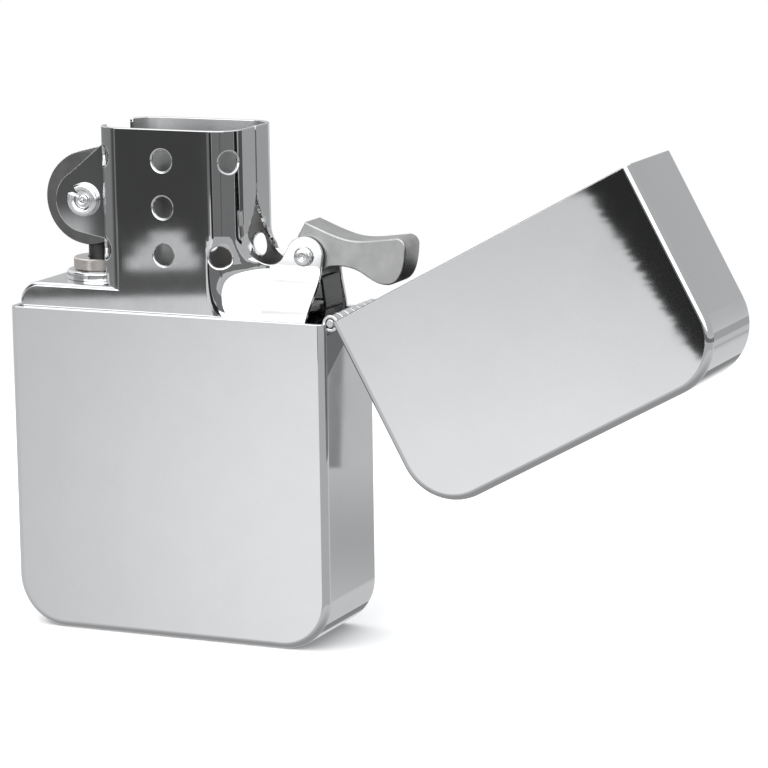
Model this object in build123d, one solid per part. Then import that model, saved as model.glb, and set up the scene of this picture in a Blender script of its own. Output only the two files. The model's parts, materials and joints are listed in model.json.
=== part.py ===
from build123d import *

import math
import os

# Flip-top windproof petrol lighter, stored standing on its base with the lid open.
#
# Frame: +X towards the hinge, +Y towards the back, +Z up, origin at the centre of the case's
# flat bottom. Millimetres. Every function below the helpers returns the solid of one node.

# ---- Driving dimensions -------------------------------------------------------------------
CASE_W = 37.5          # outer width of case and lid
CASE_D = 12.8          # outer depth of case and lid
CASE_H = 35.4          # case, bottom to rim
LID_H = 22.8           # lid, rim to top
WALL = 0.6             # drawn brass sheet of case and lid
BASE_R = 5.6           # case's bottom corners, front view
LID_R = 6.0            # lid's top corners, front view
EDGE_R = 0.8           # soft edge where a face turns into a side
RIM_GAP = 0.1          # between the rims when shut
LID_OPEN = 151.4       # degrees from shut to the stop

# Hinge: rolled knuckles along Y, just outside the +X wall
HINGE_X = CASE_W / 2 + 0.39
HINGE_Z = CASE_H + RIM_GAP / 2
KNUCKLE_R = 0.9
KNUCKLE_BORE = 0.5
PIN_R = 0.45
KNUCKLES = 7
HINGE_LENGTH = 11.2
KNUCKLE_GAP = 0.1
LEAF_T = 0.35
LEAF_LENGTH = 7.0

# Insert: the sheet steel can that slides into the case
SHEET = 0.45
INSERT_LEFT = -17.85
INSERT_RIGHT = 17.35
INSERT_HALF_D = 5.6
INSERT_BOTTOM = 1.2
DECK_Z = 38.05         # top of the shelf beside the chimney
INSERT_BASE_R = 4.4
SHOULDER_R = 2.2
END_WALL_TOP = 34.6    # the can's wall at the hinge side stops below the rim

# Chimney
CHIMNEY_LEFT = -8.4
CHIMNEY_RIGHT = 8.25
CHIMNEY_TOP = 55.15
CHIMNEY_R = 2.8
VENT_R = 1.15
VENT_X = -0.2          # middle row
VENT_HEIGHTS = (41.75, 46.8, 51.8)
LOW_VENT_X = 6.3       # the odd one, low and near the cam

# Striker: wheel, flint and flint tube share one vertical line
STRIKER_X = -10.75
WHEEL_Z = 47.0
WHEEL_R = 5.15         # its far side clears the lid's swinging rim by 0.1
WHEEL_HALF_W = 2.6
WHEEL_TEETH = 60
TOOTH_DEPTH = 0.22
WHEEL_EAR_Y = 3.5      # outer face of the wheel's ears
WHEEL_EAR_R = 3.45
AXLE_R = 0.9
RUNNING_GAP = 0.05
FLINT_R = 1.3
FLINT_LENGTH = 5.0
TUBE_R = 2.0
TUBE_BORE = 1.45
TUBE_BOTTOM = 3.0
FLANGE_T = 0.95
FLANGE_R = 3.7
COLLAR_Z = DECK_Z + FLANGE_T + 0.06
COLLAR_R = 2.95
COLLAR_T = 1.3
FLINT_FOOT = WHEEL_Z - WHEEL_R - FLINT_LENGTH + 0.08     # top of the pusher
SPRING_LOW = 8.0
SPRING_HIGH = FLINT_FOOT - 2.35

# Cam lever that holds the lid open and shut
CAM_X = 14.9
CAM_Z = 41.9
CAM_HALF_W = 1.95
CAM_EAR_Y = 2.75       # outer face of the cam's ears
CAM_EAR_R = 2.1
CAM_PIN_R = 0.7
LEAF_SPRING_T = 0.3
LEAF_SPRING_W = 4.2
SPRING_PIN_X = 10.6    # rivet that holds the leaf spring to the plate

# Wick, wadding and felt
WICK_R = 1.25
WICK_X = 0.8
WICK_TOP = 47.5
PLATE_Z = 35.6         # underside of the plate that closes the tank
PLATE_T = 0.5
TANK_HALF_D = INSERT_HALF_D - SHEET
FELT_BOTTOM = 1.5
FELT_TOP = 4.3
WICK_BENDS = ((WICK_X, 31.5), (11.5, 27.5), (-4.5, 20.5), (11.5, 13.5), (-2.0, 7.5))
WICK_BEND_R = 3.0
COTTON_PIECES = 5
COTTON_GAP = 0.3       # between tufts, and from tuft to can


# ---- Helpers ------------------------------------------------------------------------------
def on_front(sketch, depth, y_middle=0.0):
    """A sketch drawn in X and Z becomes a plate of the given depth along Y."""
    return extrude(Plane.XZ * sketch, depth / 2, both=True).translate((0, y_middle, 0))


def box_between(low, high):
    """Box between two opposite corners."""
    size = [high[i] - low[i] for i in range(3)]
    middle = [(high[i] + low[i]) / 2 for i in range(3)]
    return Pos(*middle) * Box(*size)


def rod(x, z, radius, y_low, y_high):
    """Round bar along Y."""
    bar = Rot(90, 0, 0) * Cylinder(radius, y_high - y_low)
    return Pos(x, (y_low + y_high) / 2, z) * bar


def post(x, radius, z_low, z_high):
    """Round bar along Z."""
    return Pos(x, 0, (z_low + z_high) / 2) * Cylinder(radius, z_high - z_low)


def can_block(width, depth, rim_z, end_z, corner_r, edge_r):
    """Block with a flat open end at rim_z and two rounded corners at end_z."""
    outline = Rectangle(width, abs(rim_z - end_z))
    rows = outline.vertices().group_by(Axis.Y)
    outline = fillet(rows[0] if end_z < rim_z else rows[-1], corner_r)
    block = on_front(Pos(0, (rim_z + end_z) / 2) * outline, depth)
    soft = []
    for edge in block.edges():
        middle = edge.center()
        if abs(abs(middle.Y) - depth / 2) < 1e-6 and abs(middle.Z - rim_z) > 1e-6:
            soft.append(edge)
    return fillet(soft, edge_r)


def drawn_can(rim_z, end_z, corner_r):
    """Thin can: case or lid, open at rim_z."""
    up = 1 if end_z < rim_z else -1
    outer = can_block(CASE_W, CASE_D, rim_z, end_z, corner_r, EDGE_R)
    inner = can_block(CASE_W - 2 * WALL, CASE_D - 2 * WALL, rim_z + up, end_z + up * WALL,
                      corner_r - WALL, EDGE_R / 3)
    return outer - inner


def opened(shape):
    """Turn a shape drawn with the lid shut to where it is with the lid open."""
    return shape.rotate(Axis((HINGE_X, 0, HINGE_Z), (0, 1, 0)), LID_OPEN)


# ---- Case, lid and hinge ------------------------------------------------------------------
def hinge_notch(side):
    """Space that case (side -1) or lid (side +1) leaves in its wall for the knuckles."""
    edge = HINGE_Z + side * (KNUCKLE_R + 0.25)
    low, high = sorted((edge, HINGE_Z - side * 2))
    half = HINGE_LENGTH / 2 + 0.1
    return box_between((HINGE_X - 2, -half, low), (HINGE_X + 2, half, high))


def hinge_leaf(side, own_knuckles):
    """Leaf inside the wall, a step through the notch, and the rolled knuckles."""
    half = HINGE_LENGTH / 2
    inside = CASE_W / 2 - WALL - 0.05
    root = HINGE_Z + side * (KNUCKLE_R - 0.1)
    step = HINGE_Z + side * (KNUCKLE_R + 0.2)
    far = HINGE_Z + side * LEAF_LENGTH
    leaf = box_between((inside - LEAF_T, -half, min(root, far)), (inside, half, max(root, far)))
    leaf += box_between((inside - LEAF_T, -half, min(root, step)), (HINGE_X, half, max(root, step)))
    pitch = (HINGE_LENGTH + KNUCKLE_GAP) / KNUCKLES
    for number in range(KNUCKLES):
        start = -half + number * pitch
        if number in own_knuckles:
            leaf += rod(HINGE_X, HINGE_Z, KNUCKLE_R, start, start + pitch - KNUCKLE_GAP)
        else:
            clear = KNUCKLE_R + 0.12
            leaf -= rod(HINGE_X, HINGE_Z, clear, start - KNUCKLE_GAP, start + pitch)
    return leaf - rod(HINGE_X, HINGE_Z, KNUCKLE_BORE, -half - 1, half + 1)


def case_shell():
    """Lower can, open at the top."""
    return drawn_can(CASE_H, 0, BASE_R) - hinge_notch(-1)


def case_hinge_leaf():
    return hinge_leaf(-1, range(0, KNUCKLES, 2))


def hinge_pin():
    """Pin through all the knuckles."""
    reach = HINGE_LENGTH / 2 + 0.1
    pin = rod(HINGE_X, HINGE_Z, PIN_R, -reach, reach)
    return chamfer(pin.edges().filter_by(GeomType.CIRCLE), 0.1)


def lid_shell():
    """Upper can, stored open."""
    rim = CASE_H + RIM_GAP
    return opened(drawn_can(rim, rim + LID_H, LID_R) - hinge_notch(1))


def lid_hinge_leaf():
    return opened(hinge_leaf(1, range(1, KNUCKLES, 2)))


# ---- Insert shell -------------------------------------------------------------------------
def smooth_step(value, low, high):
    """Rises smoothly from 0 at low to 1 at high."""
    part = min(max((value - low) / (high - low), 0), 1)
    return part * part * (3 - 2 * part)


def ear_sheet_y(x, z):
    """Front sheet on the cam side: flush with the can below, drawn in to the ear above."""
    inward = smooth_step(x, 5.0, 11.0) * smooth_step(z, 34.6, 40.6)
    return -INSERT_HALF_D + (INSERT_HALF_D - CAM_EAR_Y) * inward


def cam_side_sheet():
    """Half of the sheet between chimney and cam, with its ear."""
    columns = [3.6 + 1.1 * step for step in range(13)]
    rows = [33.6 + 1.22 * step for step in range(10)]
    sections = []
    for z in rows:
        outer = [(x, ear_sheet_y(x, z) + 0.02, z) for x in columns]
        inner = [(x, y + SHEET, z) for x, y, z in outer]
        edges = [Spline(*outer), Line(outer[-1], inner[-1]), Spline(*inner), Line(inner[0], outer[0])]
        sections.append(make_face(Curve() + edges))
    sheet = loft(sections)
    outline = Polyline((4.4, 34.0), (16.1, 34.0), (17.0, 41.5), (17.0, 44.6), (12.7, 44.6),
                       (12.6, 42.3), (9.2, 42.9), (8.6, 44.0), (4.4, 44.0), close=True)
    blank = on_front(make_face(outline), 5, -4.2)
    top = on_front(Pos(CAM_X, CAM_Z) * (Rectangle(8, 8) - Circle(CAM_EAR_R)), 5, -4.2)
    top &= box_between((CAM_X - 2.3, -7, CAM_Z), (CAM_X + 4, -1, CAM_Z + 4))
    notch_floor = rod(10.9, 42.6, 1.75, -7, -1)
    return (sheet & (blank - top)) - notch_floor


def wheel_ear():
    """Front ear for the wheel, with its root in the chimney's corner."""
    round_end = Pos(STRIKER_X, WHEEL_Z - 0.2) * Circle(WHEEL_EAR_R)
    root = Line((CHIMNEY_LEFT + 0.3, 42.8), (CHIMNEY_LEFT + 0.3, 53.3))
    plate = make_hull(round_end.edges() + [root])
    return on_front(plate, SHEET, -WHEEL_EAR_Y + SHEET / 2)


def chimney_tube():
    """Rounded tube, open to the wheel and slit down the middle of its cam side."""
    width = CHIMNEY_RIGHT - CHIMNEY_LEFT
    depth = 2 * INSERT_HALF_D
    middle = (CHIMNEY_RIGHT + CHIMNEY_LEFT) / 2
    plan = RectangleRounded(width, depth, CHIMNEY_R)
    plan -= RectangleRounded(width - 2 * SHEET, depth - 2 * SHEET, CHIMNEY_R - SHEET)
    foot = DECK_Z - SHEET
    tube = extrude(Pos(middle, 0, foot) * plan, CHIMNEY_TOP - foot)
    slot = WHEEL_EAR_Y - SHEET
    tube -= box_between((CHIMNEY_LEFT - 1, -slot, foot - 1), (0, slot, CHIMNEY_TOP + 1))
    drop = Polyline((-0.07, 60), (-0.07, 47.2), (-0.8, 45.8), (-1.9, 44.4), (-2.4, 43.2),
                    (-2.4, 30), (2.4, 30), (2.4, 43.2), (1.9, 44.4), (0.8, 45.8),
                    (0.07, 47.2), (0.07, 60), close=True)
    return tube - extrude(Plane.YZ * make_face(drop), 20)


def vent_holes():
    """Three rows of holes through front and back, and one pair at each corner."""
    half = INSERT_HALF_D + 1
    holes = Part()
    for z in VENT_HEIGHTS:
        holes += rod(VENT_X, z, VENT_R, -half, half)
    holes += rod(LOW_VENT_X, VENT_HEIGHTS[0], VENT_R, -half, half)
    right_x = CHIMNEY_RIGHT - CHIMNEY_R
    left_x = CHIMNEY_LEFT + CHIMNEY_R
    corner_y = INSERT_HALF_D - CHIMNEY_R
    for x, turn, heights in ((right_x, 45, (51.8,)), (left_x, -45, (42.0, 52.0))):
        for z in heights:
            for side in (-1, 1):
                drill = Rot(0, 0, -side * turn) * Rot(90, 0, 0) * Cylinder(VENT_R, 6)
                reach = Rot(0, 0, -side * turn) * Pos(0, side * (CHIMNEY_R + 1.5), 0)
                holes += Pos(x, side * corner_y, z) * reach * Rot(0, 0, side * turn) * drill
    return holes


def insert_shell():
    """Tank, shelf, chimney and both pairs of ears in one folded and drawn sheet."""
    width = INSERT_RIGHT - INSERT_LEFT
    middle = (INSERT_RIGHT + INSERT_LEFT) / 2
    height = DECK_Z - INSERT_BOTTOM

    def tank(inset):
        outline = Rectangle(width - 2 * inset, height - inset)
        rows = outline.vertices().group_by(Axis.Y)
        outline = fillet(rows[0], INSERT_BASE_R - inset)
        shoulder = outline.vertices().group_by(Axis.Y)[-1].sort_by(Axis.X)[0]
        outline = fillet(shoulder, SHOULDER_R - inset)
        depth = 2 * (INSERT_HALF_D - inset)
        block = on_front(Pos(middle, (DECK_Z + INSERT_BOTTOM - inset) / 2) * outline, depth)
        return fillet(block.edges().filter_by(Axis.Z), 0.5 - inset / 2)

    shell = tank(0) - tank(SHEET).translate((0, 0, -0.01))
    shell -= box_between((-20, -8, -1), (20, 8, FELT_BOTTOM - 0.2))
    inner = INSERT_HALF_D - SHEET
    shell -= box_between((CHIMNEY_LEFT + 0.6, -inner, PLATE_Z), (20, inner, DECK_Z + 1))
    shell -= box_between((4.4, -8, 34.0), (20, 8, DECK_Z + 1))
    shell -= box_between((INSERT_RIGHT - 1, -inner, END_WALL_TOP - 1), (20, inner, DECK_Z))
    shell += chimney_tube()
    front = cam_side_sheet() + wheel_ear()
    shell += front + mirror(front, Plane.XZ)
    shell -= vent_holes()
    shell -= post(STRIKER_X, TUBE_R + 0.05, DECK_Z - 1, DECK_Z + 1)
    shell -= rod(STRIKER_X, WHEEL_Z, AXLE_R + RUNNING_GAP, -5, 5)
    return shell - rod(CAM_X, CAM_Z, CAM_PIN_R + RUNNING_GAP, -5, 5)


def wick_plate():
    """Inner plate that closes the tank and carries wick, flint tube and cam spring."""
    gap = 0.08
    plate = box_between((INSERT_LEFT + SHEET + gap, -TANK_HALF_D + gap, PLATE_Z),
                        (14.6, TANK_HALF_D - gap, PLATE_Z + PLATE_T))
    plate = fillet(plate.edges().filter_by(Axis.Z), 0.6)
    for side in (-1, 1):
        low, high = sorted((side * 4.5, side * 8))
        plate -= box_between((4.5, low, PLATE_Z - 1), (20, high, PLATE_Z + 1))
    plate -= post(STRIKER_X, TUBE_R + 0.05, PLATE_Z - 1, PLATE_Z + 1)
    plate -= post(SPRING_PIN_X, 0.5, PLATE_Z - 1, PLATE_Z + 1)
    return plate - post(WICK_X, WICK_R + 0.5, PLATE_Z - 1, PLATE_Z + 1)


def wick_eyelet():
    """Brass eyelet that leads the wick through the plate."""
    top = PLATE_Z + PLATE_T
    ring = post(WICK_X, WICK_R + 0.45, PLATE_Z - 0.4, top + 0.01)
    ring += post(WICK_X, WICK_R + 1.0, top + 0.02, top + 0.3)
    ring += post(WICK_X, WICK_R + 0.45, top, top + 0.1)
    return ring - post(WICK_X, WICK_R + 0.08, PLATE_Z - 1, top + 1)


# ---- Striker ------------------------------------------------------------------------------
def spark_wheel():
    """Toothed wheel with shallow recessed sides."""
    rim = []
    for tooth in range(WHEEL_TEETH):
        for part, radius in ((0.0, WHEEL_R), (0.7, WHEEL_R - TOOTH_DEPTH)):
            turn = 2 * math.pi * (tooth + part) / WHEEL_TEETH
            rim.append((radius * math.sin(turn), radius * math.cos(turn)))
    blank = make_face(Polyline(*rim, close=True)) - Circle(AXLE_R + RUNNING_GAP)
    wheel = on_front(Pos(STRIKER_X, WHEEL_Z) * blank, 2 * WHEEL_HALF_W)
    for side in (-1, 1):
        face = side * WHEEL_HALF_W
        low, high = sorted((face - side * 0.3, face + side))
        groove = rod(STRIKER_X, WHEEL_Z, 4.3, low, high) - rod(STRIKER_X, WHEEL_Z, 2.2, low, high)
        wheel -= groove
    return wheel


def wheel_rivet():
    """Rolled tube that the wheel turns on, closed over at both ears."""
    reach = WHEEL_EAR_Y + 0.6
    rivet = rod(STRIKER_X, WHEEL_Z, AXLE_R, -reach, reach)
    for side in (-1, 1):
        low, high = sorted((side * (WHEEL_EAR_Y + 0.03), side * reach))
        head = rod(STRIKER_X, WHEEL_Z, 1.8, low, high)
        rivet += chamfer(head.edges().filter_by(GeomType.CIRCLE), 0.15)
    return rivet - rod(STRIKER_X, WHEEL_Z, 0.4, -reach - 1, reach + 1)


def flint():
    """Stick whose top is worn to the wheel."""
    base = FLINT_FOOT + 0.02
    stick = post(STRIKER_X, FLINT_R, base, base + FLINT_LENGTH + 0.2)
    return stick - rod(STRIKER_X, WHEEL_Z, WHEEL_R + 0.08, -4, 4)


def flint_pusher():
    """Brass plug under the flint with a stem in the spring."""
    plug = post(STRIKER_X, FLINT_R, FLINT_FOOT - 2.2, FLINT_FOOT)
    return plug + post(STRIKER_X, 0.5, FLINT_FOOT - 4.5, FLINT_FOOT - 2)


def flint_spring():
    """Open coil between screw and pusher."""
    coil_r = 0.88
    wire_r = 0.17
    path = Helix(pitch=1.7, height=SPRING_HIGH - SPRING_LOW, radius=coil_r,
                 center=(STRIKER_X, 0, SPRING_LOW))
    start = Plane(origin=path @ 0, z_dir=path % 0)
    return sweep(start * Circle(wire_r), path=path, is_frenet=True)


def flint_screw():
    """Slotted screw that closes the flint tube and carries the spring."""
    head_low = FELT_BOTTOM + 0.1
    head = post(STRIKER_X, 2.35, head_low, TUBE_BOTTOM - 0.05)
    head = chamfer(head.edges().filter_by(GeomType.CIRCLE), 0.15)
    screw = head + post(STRIKER_X, TUBE_BORE - RUNNING_GAP, TUBE_BOTTOM - 0.3, 7.0)
    screw += post(STRIKER_X, 0.55, 6.5, SPRING_LOW + 1.2)
    return screw - box_between((STRIKER_X - 3, -0.35, 0), (STRIKER_X + 3, 0.35, head_low + 0.6))


def flint_tube():
    """Tube from the collar down to the screw."""
    wall = Circle(TUBE_R) - Circle(TUBE_BORE)
    return extrude(Pos(STRIKER_X, 0, TUBE_BOTTOM) * wall, COLLAR_Z - 0.03 - TUBE_BOTTOM)


def tube_flange():
    """Spun flange that seats the flint tube on the shelf."""
    ring = Circle(FLANGE_R) - Circle(TUBE_R + 0.03)
    flange = extrude(Pos(STRIKER_X, 0, DECK_Z + 0.03) * ring, FLANGE_T)
    outer = flange.edges().filter_by(GeomType.CIRCLE).sort_by(Axis.Z)[-2:]
    rim = [edge for edge in outer if edge.radius > TUBE_R + 1]
    return fillet(rim, 0.3)


def tube_collar():
    """Plain ring pressed on the tube's mouth."""
    ring = Circle(COLLAR_R) - Circle(TUBE_BORE)
    collar = extrude(Pos(STRIKER_X, 0, COLLAR_Z) * ring, COLLAR_T)
    rim = [edge for edge in collar.edges().filter_by(GeomType.CIRCLE) if edge.radius > 2]
    return chamfer(rim, 0.12)


# ---- Cam ----------------------------------------------------------------------------------
def cam_lever():
    """Solid cam: heel round the pivot, waist, and a heavy nose."""
    top = Spline((14.75, 45.45), (17.9, 44.25), (20.0, 43.75), (22.6, 43.85), (24.9, 44.15))
    nose = ThreePointArc((24.9, 44.15), (25.85, 43.95), (26.2, 43.1))
    tip = Spline((26.2, 43.1), (25.95, 41.2), (25.1, 39.6), (23.95, 39.2))
    belly = Spline((23.95, 39.2), (22.4, 39.6), (20.8, 40.5), (19.2, 40.9), (17.2, 40.75))
    heel = ThreePointArc((17.2, 40.75), (15.2, 40.15), (13.5, 41.2))
    back = Polyline((13.5, 41.2), (13.9, 44.0), (14.75, 45.45))
    side = make_face(Curve() + [top, nose, tip, belly, heel, back])
    lever = on_front(side, 2 * CAM_HALF_W)
    flat = [edge for edge in lever.edges() if abs(abs(edge.center().Y) - CAM_HALF_W) < 1e-4]
    lever = fillet(flat, 0.15)
    return lever - rod(CAM_X, CAM_Z, CAM_PIN_R + RUNNING_GAP, -5, 5)


def cam_rivet():
    """Solid rivet with low domed heads."""
    reach = CAM_EAR_Y + 0.5
    rivet = rod(CAM_X, CAM_Z, CAM_PIN_R, -reach, reach)
    for side in (-1, 1):
        low, high = sorted((side * (CAM_EAR_Y + 0.03), side * reach))
        head = rod(CAM_X, CAM_Z, 1.05, low, high)
        rim = head.edges().filter_by(GeomType.CIRCLE).sort_by(Axis.Y)
        rivet += fillet(rim[-1] if side > 0 else rim[0], 0.3)
    return rivet


def cam_spring():
    """Leaf spring: foot under the plate, bend at the end wall, tip under the cam's heel."""
    low = PLATE_Z - 0.35
    line = FilletPolyline((9.0, low), (16.6, low - 0.6), (17.0, 36.6), (16.6, 39.6), (15.9, 39.45),
                          radius=(0.8, 2.0, 0.3))
    leaf = on_front(trace(line, LEAF_SPRING_T), LEAF_SPRING_W)
    return leaf - post(SPRING_PIN_X, 0.5, low - 2, low + 2)


def cam_spring_rivet():
    """Rivet through the plate and the leaf spring's foot."""
    shank = post(SPRING_PIN_X, 0.45, PLATE_Z - 0.8, PLATE_Z + PLATE_T + 0.1)
    shank += post(SPRING_PIN_X, 0.9, PLATE_Z + PLATE_T + 0.05, PLATE_Z + PLATE_T + 0.35)
    return shank + post(SPRING_PIN_X, 0.8, PLATE_Z - 1.1, PLATE_Z - 0.75)


# ---- Wick, wadding and felt ---------------------------------------------------------------
def wick_rod(radius):
    """Wick from its tip above the plate, laced to and fro down through the wadding."""
    points = [(WICK_X, 0, WICK_TOP)] + [(x, 0, z) for x, z in WICK_BENDS]
    route = FilletPolyline(*points, radius=WICK_BEND_R)
    start = Plane(origin=route @ 0, z_dir=route % 0)
    return sweep(start * Circle(radius), path=route)


def wick():
    """Braided wick."""
    return wick_rod(WICK_R)


def cotton_pieces():
    """Wadding pressed round the wick, one tuft above the other."""
    low = FELT_TOP + 0.4
    high = PLATE_Z - 1.5
    tall = (high - low) / COTTON_PIECES
    left = STRIKER_X + TUBE_R + 0.35
    right = INSERT_RIGHT - SHEET - 0.5
    channel = wick_rod(WICK_R + 0.15)
    pieces = []
    for number in range(COTTON_PIECES):
        floor = low + number * tall
        deep = TANK_HALF_D - COTTON_GAP
        end = right - (3.2 if number == 0 else 0)
        tuft = box_between((left, -deep, floor), (end, deep, floor + tall - COTTON_GAP))
        tuft = fillet(tuft.edges().filter_by(Axis.Y), 1.6)
        pieces.append(tuft - channel)
    return pieces


def felt_pad():
    """Felt that closes the tank, with a hole for the screw and one to lift it by."""
    pad = box_between((INSERT_LEFT + 3.2, -TANK_HALF_D + 0.25, FELT_BOTTOM),
                      (INSERT_RIGHT - 3.2, TANK_HALF_D - 0.25, FELT_TOP))
    pad = fillet(pad.edges().filter_by(Axis.Z), 1.0)
    pad -= post(STRIKER_X, 2.7, 0, 10)
    return pad - post(12.0, 0.9, 0, 10)


# ---- Files --------------------------------------------------------------------------------
def main():
    """Writes one STEP file for every node."""
    os.makedirs("parts", exist_ok=True)
    makers = (case_shell, case_hinge_leaf, hinge_pin, lid_shell, lid_hinge_leaf, insert_shell,
              wick_plate, wick_eyelet, spark_wheel, wheel_rivet, flint, flint_pusher,
              flint_spring, flint_screw, flint_tube, tube_flange, tube_collar, cam_lever,
              cam_rivet, cam_spring, cam_spring_rivet, wick, felt_pad)
    nodes = {maker.__name__: maker() for maker in makers}
    for number, tuft in enumerate(cotton_pieces(), 1):
        nodes[f"cotton_tuft_{number}"] = tuft
    for name, shape in nodes.items():
        export_step(shape, f"parts/{name}.step")


main()
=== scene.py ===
"""Looks of the flip-top lighter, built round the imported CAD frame. Metres, +X to the hinge, +Z up."""
import json
import math

import bpy
from mathutils import Matrix, Vector, noise
from mathutils.geometry import delaunay_2d_cdt


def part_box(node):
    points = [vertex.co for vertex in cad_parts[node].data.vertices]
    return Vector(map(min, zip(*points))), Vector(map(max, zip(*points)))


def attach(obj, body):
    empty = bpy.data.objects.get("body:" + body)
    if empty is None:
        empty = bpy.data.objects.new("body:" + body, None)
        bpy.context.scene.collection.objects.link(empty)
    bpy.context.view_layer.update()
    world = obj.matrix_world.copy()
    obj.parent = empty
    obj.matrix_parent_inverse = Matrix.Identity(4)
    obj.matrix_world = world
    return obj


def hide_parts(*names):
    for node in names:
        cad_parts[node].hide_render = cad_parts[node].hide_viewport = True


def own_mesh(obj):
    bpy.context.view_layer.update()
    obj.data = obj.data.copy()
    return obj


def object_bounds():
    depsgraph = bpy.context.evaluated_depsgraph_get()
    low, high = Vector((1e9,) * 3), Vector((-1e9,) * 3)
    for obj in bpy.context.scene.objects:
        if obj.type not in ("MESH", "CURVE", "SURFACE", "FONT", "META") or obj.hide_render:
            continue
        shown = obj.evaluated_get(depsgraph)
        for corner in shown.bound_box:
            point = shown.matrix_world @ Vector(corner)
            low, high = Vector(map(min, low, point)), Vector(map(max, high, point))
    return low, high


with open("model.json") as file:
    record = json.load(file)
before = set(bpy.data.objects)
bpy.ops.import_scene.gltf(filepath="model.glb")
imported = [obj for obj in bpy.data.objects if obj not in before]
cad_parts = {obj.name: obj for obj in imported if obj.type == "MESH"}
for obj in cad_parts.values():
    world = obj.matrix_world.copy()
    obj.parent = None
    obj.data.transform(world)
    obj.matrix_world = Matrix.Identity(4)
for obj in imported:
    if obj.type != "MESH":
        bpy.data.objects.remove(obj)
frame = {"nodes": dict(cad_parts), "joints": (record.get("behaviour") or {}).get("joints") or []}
cad_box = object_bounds()

MM = 0.001


# ---- Node helpers ----
class Nodes:
    """Builds a node tree; a value may be a number, a tuple or another node's socket."""

    def __init__(self, tree):
        self.tree = tree
        tree.nodes.clear()

    def add(self, kind, inputs=None, **settings):
        node = self.tree.nodes.new(kind)
        for name, value in settings.items():
            setattr(node, name, value)
        for name, value in (inputs or {}).items():
            self.put(node.inputs[name], value)
        return node

    def put(self, socket, value):
        if isinstance(value, bpy.types.NodeSocket):
            self.tree.links.new(value, socket)
        else:
            socket.default_value = value

    def math(self, operation, a, b=0.0):
        return self.add("ShaderNodeMath", {0: a, 1: b}, operation=operation).outputs[0]

    def span(self, value, low, high, to_low=0.0, to_high=1.0, smooth=False):
        """Value from low..high mapped to to_low..to_high and held there."""
        kind = "SMOOTHSTEP" if smooth else "LINEAR"
        inputs = {"Value": value, "From Min": low, "From Max": high, "To Min": to_low, "To Max": to_high}
        return self.add("ShaderNodeMapRange", inputs, interpolation_type=kind).outputs["Result"]

    def noise(self, vector, scale, detail=3.0, roughness=0.5):
        inputs = {"Vector": vector, "Scale": scale, "Detail": detail, "Roughness": roughness}
        return self.add("ShaderNodeTexNoise", inputs).outputs["Fac"]

    def mix(self, factor, a, b):
        return self.add("ShaderNodeMix", {0: factor, 6: a, 7: b}, data_type="RGBA").outputs[2]

    def stretched(self, vector, scale):
        return self.add("ShaderNodeMapping", {"Vector": vector, "Scale": scale}).outputs["Vector"]

    def relief(self, shader, height, depth, strength=1.0):
        """Surface relief; depth is in millimetres."""
        inputs = {"Strength": strength, "Distance": depth * MM, "Height": height}
        self.put(shader.inputs["Normal"], self.add("ShaderNodeBump", inputs).outputs["Normal"])


def new_material(name):
    """Material with its nodes, its shader and the piece's own coordinates in millimetres."""
    material = bpy.data.materials.new(name)
    material.use_nodes = True
    nodes = Nodes(material.node_tree)
    shader = nodes.add("ShaderNodeBsdfPrincipled")
    output = nodes.add("ShaderNodeOutputMaterial")
    nodes.put(output.inputs["Surface"], shader.outputs["BSDF"])
    place = nodes.add("ShaderNodeTexCoord").outputs["Object"]
    return material, nodes, shader, nodes.stretched(place, (1 / MM,) * 3)


def grey(level, warmth=0.0):
    return (level * (1 + warmth), level, level * (1 - warmth), 1.0)


def plated_metal(name, level, rough, smudge=0.012, warmth=-0.006, streak=(1, 1, 1), draw=0.0):
    """Plated metal: faint smudges in tone and gloss, fine drawing streaks in tone and surface."""
    material, nodes, shader, place = new_material(name)
    cloud = nodes.noise(place, 0.22, 5.0, 0.6)
    drawn = nodes.noise(nodes.stretched(place, streak), 4.0, 3.0, 0.6)
    tone = nodes.math("ADD", nodes.span(cloud, 0.35, 0.7, 0, 0.6), nodes.span(drawn, 0.3, 0.7, 0, 0.4))
    worn = nodes.mix(tone, grey(level + smudge, warmth), grey(level - smudge, warmth))
    nodes.put(shader.inputs["Base Color"], worn)
    nodes.put(shader.inputs["Roughness"], nodes.span(cloud, 0.45, 0.75, rough, rough * 1.6))
    if draw:
        nodes.relief(shader, drawn, draw)
    shader.inputs["Metallic"].default_value = 1.0
    return material


def satin_metal(name, level, rough, grain_size, relief_depth):
    """Cast or sintered metal with an even fine grain."""
    material, nodes, shader, place = new_material(name)
    grain = nodes.noise(place, 1 / grain_size, 3.0, 0.6)
    cloud = nodes.noise(place, 0.6, 2.0, 0.5)
    worn = nodes.mix(nodes.span(cloud, 0.3, 0.7), grey(level * 0.9), grey(level * 1.1))
    nodes.put(shader.inputs["Base Color"], worn)
    nodes.put(shader.inputs["Roughness"], nodes.span(grain, 0.3, 0.7, rough * 0.85, rough * 1.15))
    nodes.relief(shader, grain, relief_depth, 0.6)
    shader.inputs["Metallic"].default_value = 1.0
    return material


def fibre(name, low, high, strand):
    """Cotton or felt: tangled fibres in colour and relief, with a soft sheen."""
    material, nodes, shader, place = new_material(name)
    tangle = nodes.noise(nodes.stretched(place, (1.0, 0.6, 1.6)), 1 / strand, 6.0, 0.7)
    nodes.put(shader.inputs["Base Color"], nodes.mix(nodes.span(tangle, 0.3, 0.7), low, high))
    nodes.relief(shader, tangle, 0.12, 0.8)
    shader.inputs["Roughness"].default_value = 0.95
    shader.inputs["Sheen Weight"].default_value = 0.3
    return material


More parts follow.
